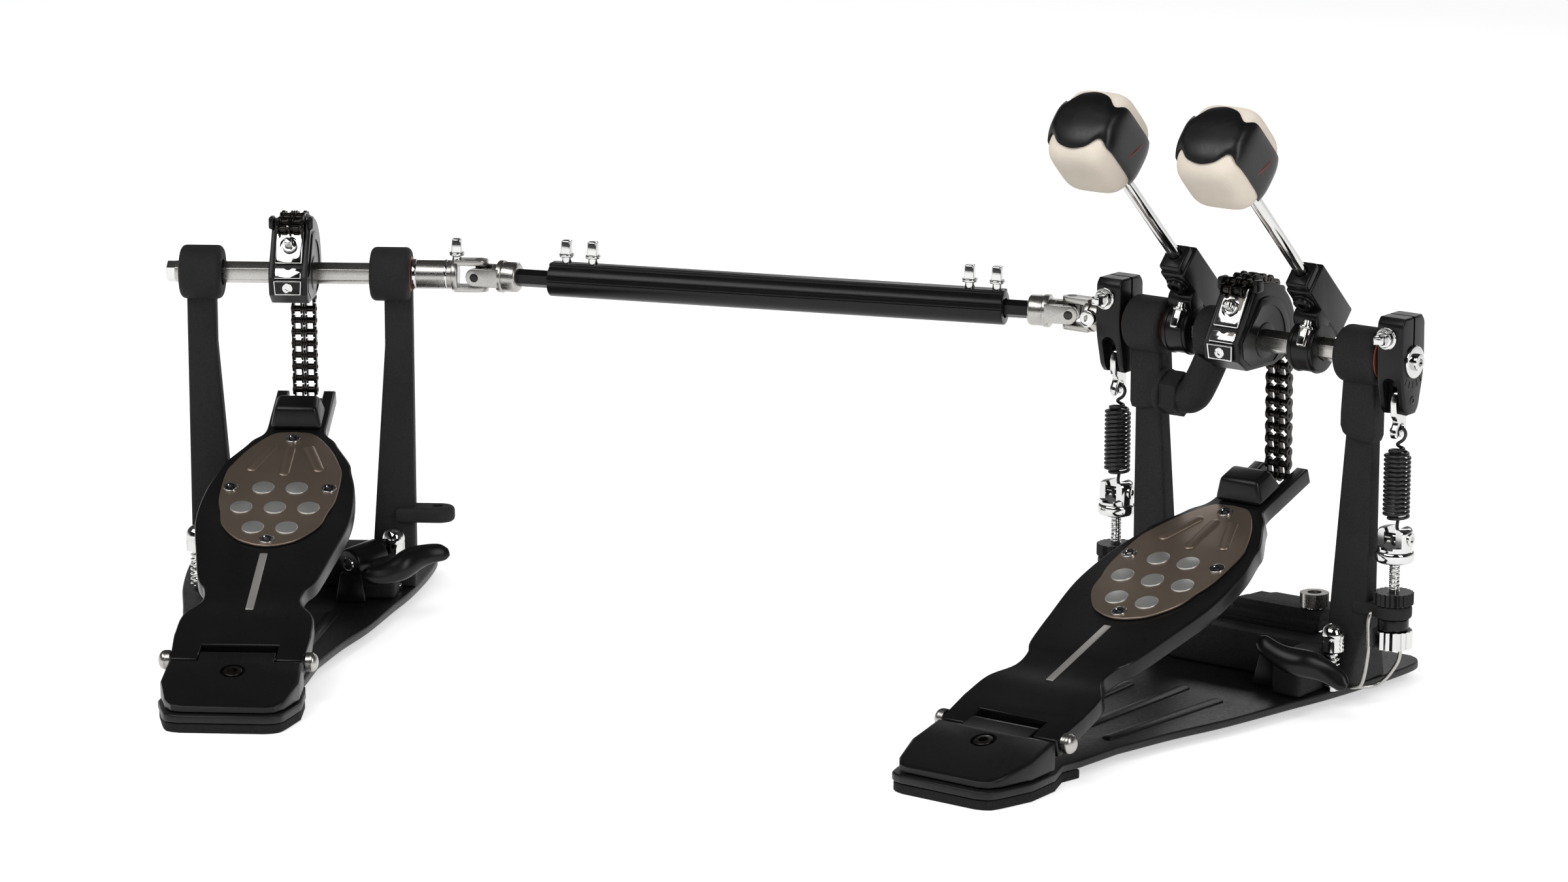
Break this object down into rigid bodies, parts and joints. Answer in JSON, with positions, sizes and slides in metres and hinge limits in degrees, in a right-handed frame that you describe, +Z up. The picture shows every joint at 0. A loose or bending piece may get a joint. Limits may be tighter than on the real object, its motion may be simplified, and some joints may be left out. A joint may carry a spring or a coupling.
{
  "type": "double bass drum pedal",
  "caption": "Double bass drum pedal: chain-drive foot pedal with paired beaters, a sprung slave pedal and a telescoping drive shaft with universal joints.",
  "frame": {"origin": "on the floor under the middle of the primary pedal axle, on the sole of its front foot", "axes": "+X along the primary axle to the player's right, +Y towards the drum, +Z up"},
  "size_m": [0.6679, 0.4572, 0.3056],
  "materials": {
    "casting_black": "satin black paint on cast aluminium",
    "powder_coat": "sand-textured black powder coat on cast aluminium",
    "base_paint": "satin black paint on pressed steel",
    "bronze_plate": "brushed bronze anodising",
    "chrome": "bright chrome",
    "brushed_steel": "brushed steel",
    "chain_steel": "dark oiled steel",
    "rubber": "moulded rubber",
    "spring_black": "black oxide",
    "felt": "pressed cream felt with black plastic faces"
  },
  "bodies": {
    "primary_stand": {"primary_base_plate": "base_paint", "primary_heel_pad": "rubber", "primary_heel_block": "casting_black", "primary_hinge_pin": "brushed_steel", "primary_left_post": "powder_coat", "primary_right_post": "powder_coat", "primary_clamp_body": "casting_black", "center_bearing_arm": "powder_coat", "left_bearing": "brushed_steel", "right_bearing": "brushed_steel", "left_tension_rod": "chrome", "right_tension_rod": "chrome"},
    "slave_stand": {"slave_base_plate": "base_paint", "slave_heel_pad": "rubber", "slave_heel_block": "casting_black", "slave_hinge_pin": "brushed_steel", "slave_left_post": "powder_coat", "slave_right_post": "powder_coat", "slave_clamp_body": "casting_black"},
    "primary_axle_set": {"primary_axle": "brushed_steel", "primary_cam": "casting_black", "primary_chain_wrap": "chain_steel", "right_rocker": "casting_black", "right_beater_hub": "casting_black"},
    "slave_axle_set": {"slave_axle": "brushed_steel", "slave_cam": "casting_black", "slave_chain_wrap": "chain_steel"},
    "output_axle_set": {"output_axle": "brushed_steel", "left_rocker": "casting_black", "left_beater_hub": "casting_black"},
    "slave_cross": {"slave_joint_cross": "chrome"},
    "slave_drive": {"slave_drive_rod": "casting_black"},
    "drive_shaft": {"drive_tube": "casting_black", "output_drive_rod": "casting_black"},
    "output_cross": {"output_joint_cross": "chrome"},
    "hoop_jaw": {"hoop_clamp_jaw": "powder_coat"},
    "primary_wing": {"primary_wing_bolt": "casting_black"},
    "slave_wing": {"slave_wing_bolt": "casting_black"},
    "primary_footboard_set": {"primary_footboard": "casting_black", "primary_traction_plate": "bronze_plate", "primary_toe_block": "casting_black"},
    "primary_chain_a": {"primary_chain_link_a": "chain_steel"},
    "primary_chain_b": {"primary_chain_link_b": "chain_steel"},
    "primary_chain_c": {"primary_chain_run": "chain_steel"},
    "slave_footboard_set": {"slave_footboard": "casting_black", "slave_traction_plate": "bronze_plate", "slave_toe_block": "casting_black"},
    "slave_chain_a": {"slave_chain_link_a": "chain_steel"},
    "slave_chain_b": {"slave_chain_link_b": "chain_steel"},
    "slave_chain_c": {"slave_chain_run": "chain_steel"},
    "left_spring_set": {"left_spring": "spring_black"},
    "left_link_set": {"left_spring_link": "chrome"},
    "left_beater": {"left_beater_rod": "chrome", "left_beater_head": "felt"},
    "left_spur": {"primary_left_spur": "chrome"},
    "right_spring_set": {"right_spring": "spring_black"},
    "right_link_set": {"right_spring_link": "chrome"},
    "right_beater": {"right_beater_rod": "chrome", "right_beater_head": "felt"},
    "right_spur": {"primary_right_spur": "chrome"}
  },
  "joints": [
    {"name": "slave_distance_slide", "type": "slide", "parent": "primary_stand", "child": "slave_stand", "axis": [-0.9421, -0.3354, 0], "range_m": [-0.015, 0.05]},
    {"name": "primary_axle_turn", "type": "hinge", "parent": "primary_stand", "child": "primary_axle_set", "pos_m": [0, 0, 0.175], "axis": [-1, 0, 0], "range_deg": [0, 45], "stiffness_Nm_per_rad": 1.6, "springref_deg": -28.65},
    {"name": "primary_footboard_hinge", "type": "hinge", "parent": "primary_stand", "child": "primary_footboard_set", "pos_m": [0, -0.2037, 0.0217], "axis": [-1, 0, 0], "range_deg": [-0.02, 5.49]},
    {"name": "primary_chain_pin_a", "type": "hinge", "parent": "primary_axle_set", "child": "primary_chain_a", "pos_m": [0, 0.02086, 0.19586], "axis": [1, 0, 0], "range_deg": [-0.02, 15.92]},
    {"name": "primary_chain_pin_b", "type": "hinge", "parent": "primary_chain_a", "child": "primary_chain_b", "pos_m": [0, 0.02725, 0.18629], "axis": [1, 0, 0], "range_deg": [-0.02, 22.52]},
    {"name": "primary_chain_pin_c", "type": "hinge", "parent": "primary_chain_b", "child": "primary_chain_c", "pos_m": [0, 0.0295, 0.175], "axis": [1, 0, 0], "range_deg": [-0.02, 10.11]},
    {"name": "slave_axle_turn", "type": "hinge", "parent": "slave_stand", "child": "slave_axle_set", "pos_m": [-0.4816, -0.1598, 0.175], "axis": [-0.8305, -0.557, 0], "range_deg": [0, 45], "stiffness_Nm_per_rad": 1.6, "springref_deg": -28.65},
    {"name": "slave_footboard_hinge", "type": "hinge", "parent": "slave_stand", "child": "slave_footboard_set", "pos_m": [-0.36813, -0.32897, 0.0217], "axis": [-0.8305, -0.557, 0], "range_deg": [-0.02, 5.49]},
    {"name": "slave_chain_pin_a", "type": "hinge", "parent": "slave_axle_set", "child": "slave_chain_a", "pos_m": [-0.49322, -0.14248, 0.19586], "axis": [0.8305, 0.557, 0], "range_deg": [-0.02, 15.92]},
    {"name": "slave_chain_pin_b", "type": "hinge", "parent": "slave_chain_a", "child": "slave_chain_b", "pos_m": [-0.49678, -0.13717, 0.18629], "axis": [0.8305, 0.557, 0], "range_deg": [-0.02, 22.52]},
    {"name": "slave_chain_pin_c", "type": "hinge", "parent": "slave_chain_b", "child": "slave_chain_c", "pos_m": [-0.49803, -0.1353, 0.175], "axis": [0.8305, 0.557, 0], "range_deg": [-0.02, 10.11]},
    {"name": "slave_cross_pin", "type": "hinge", "parent": "slave_axle_set", "child": "slave_cross", "pos_m": [-0.40154, -0.1061, 0.175], "axis": [0, 0, 1], "range_deg": [-0.02, 4.09]},
    {"name": "slave_drive_rod_turn", "type": "hinge", "parent": "slave_stand", "child": "slave_drive", "pos_m": [-0.40154, -0.1061, 0.175], "axis": [-0.9421, -0.3354, 0], "range_deg": [-0.02, 44.12]},
    {"name": "drive_tube_turn", "type": "hinge", "parent": "primary_stand", "child": "drive_shaft", "pos_m": [-0.1035, 0, 0.175], "axis": [-0.9421, -0.3354, 0], "range_deg": [-0.02, 44.12]},
    {"name": "output_axle_turn", "type": "hinge", "parent": "primary_stand", "child": "output_axle_set", "pos_m": [0, 0, 0.175], "axis": [-1, 0, 0], "range_deg": [-0.02, 45.83]},
    {"name": "output_cross_pin", "type": "hinge", "parent": "output_axle_set", "child": "output_cross", "pos_m": [-0.1035, 0, 0.175], "axis": [0, 0, 1], "range_deg": [-5.68, 0.02]},
    {"name": "right_spring_swing", "type": "hinge", "parent": "primary_stand", "child": "right_spring_set", "pos_m": [0.0862, 0, 0.0876], "axis": [1, 0, 0], "range_deg": [-0.02, 10.31]},
    {"name": "right_spring_stretch", "type": "slide", "parent": "right_spring_set", "child": "right_link_set", "axis": [0, 0, 1], "range_m": [-0.0001, 0.00688], "deforming": ["right_spring"]},
    {"name": "right_beater_height", "type": "slide", "parent": "primary_axle_set", "child": "right_beater", "axis": [0, -0.7266, 0.6871], "range_m": [-0.02, 0.008]},
    {"name": "right_spur_height", "type": "slide", "parent": "primary_stand", "child": "right_spur", "axis": [0, 0, 1], "range_m": [0, 0.01]},
    {"name": "left_spring_swing", "type": "hinge", "parent": "primary_stand", "child": "left_spring_set", "pos_m": [-0.0752, 0, 0.0876], "axis": [1, 0, 0], "range_deg": [-0.02, 10.43]},
    {"name": "left_spring_stretch", "type": "slide", "parent": "left_spring_set", "child": "left_link_set", "axis": [0, 0, 1], "range_m": [-0.0001, 0.0071], "deforming": ["left_spring"]},
    {"name": "left_beater_height", "type": "slide", "parent": "output_axle_set", "child": "left_beater", "axis": [0, -0.7266, 0.6871], "range_m": [-0.02, 0.008]},
    {"name": "left_spur_height", "type": "slide", "parent": "primary_stand", "child": "left_spur", "axis": [0, 0, 1], "range_m": [0, 0.01]},
    {"name": "primary_wing_turn", "type": "hinge", "parent": "primary_stand", "child": "primary_wing", "pos_m": [0.063, -0.045, 0.0306], "axis": [0.4993, -0.7789, 0.3795], "range_deg": [0, 630]},
    {"name": "hoop_jaw_tilt", "type": "hinge", "parent": "primary_stand", "child": "hoop_jaw", "pos_m": [0, 0.01, 0.034], "axis": [1, 0, 0], "range_deg": [-0.02, 10.52]},
    {"name": "slave_wing_turn", "type": "hinge", "parent": "slave_stand", "child": "slave_wing", "pos_m": [-0.4073, -0.16054, 0.0309], "axis": [0.8485, -0.3688, 0.3795], "range_deg": [0, 630]}
  ],
  "couplings": [
    {"joint": "primary_footboard_hinge", "follows": "primary_axle_turn", "ratio": 0.12147},
    {"joint": "primary_chain_pin_a", "follows": "primary_axle_turn", "ratio": 0.35326},
    {"joint": "primary_chain_pin_b", "follows": "primary_axle_turn", "ratio": 0.5},
    {"joint": "primary_chain_pin_c", "follows": "primary_axle_turn", "ratio": 0.22429},
    {"joint": "slave_footboard_hinge", "follows": "slave_axle_turn", "ratio": 0.12147},
    {"joint": "slave_chain_pin_a", "follows": "slave_axle_turn", "ratio": 0.35326},
    {"joint": "slave_chain_pin_b", "follows": "slave_axle_turn", "ratio": 0.5},
    {"joint": "slave_chain_pin_c", "follows": "slave_axle_turn", "ratio": 0.22429},
    {"joint": "slave_cross_pin", "follows": "slave_axle_turn", "ratio": 0.090452},
    {"joint": "slave_drive_rod_turn", "follows": "slave_axle_turn", "ratio": 0.9801},
    {"joint": "drive_tube_turn", "follows": "slave_axle_turn", "ratio": 0.9801},
    {"joint": "output_axle_turn", "follows": "slave_axle_turn", "ratio": 1.0181},
    {"joint": "output_cross_pin", "follows": "slave_axle_turn", "ratio": -0.12578},
    {"joint": "right_spring_swing", "follows": "primary_axle_turn", "ratio": 0.22878},
    {"joint": "right_spring_stretch", "follows": "primary_axle_turn", "m_per_rad": 0.0086265},
    {"joint": "left_spring_swing", "follows": "slave_axle_turn", "ratio": 0.23134},
    {"joint": "left_spring_stretch", "follows": "slave_axle_turn", "m_per_rad": 0.0089104},
    {"joint": "hoop_jaw_tilt", "follows": "primary_wing_turn", "ratio": 0.016667}
  ]
}
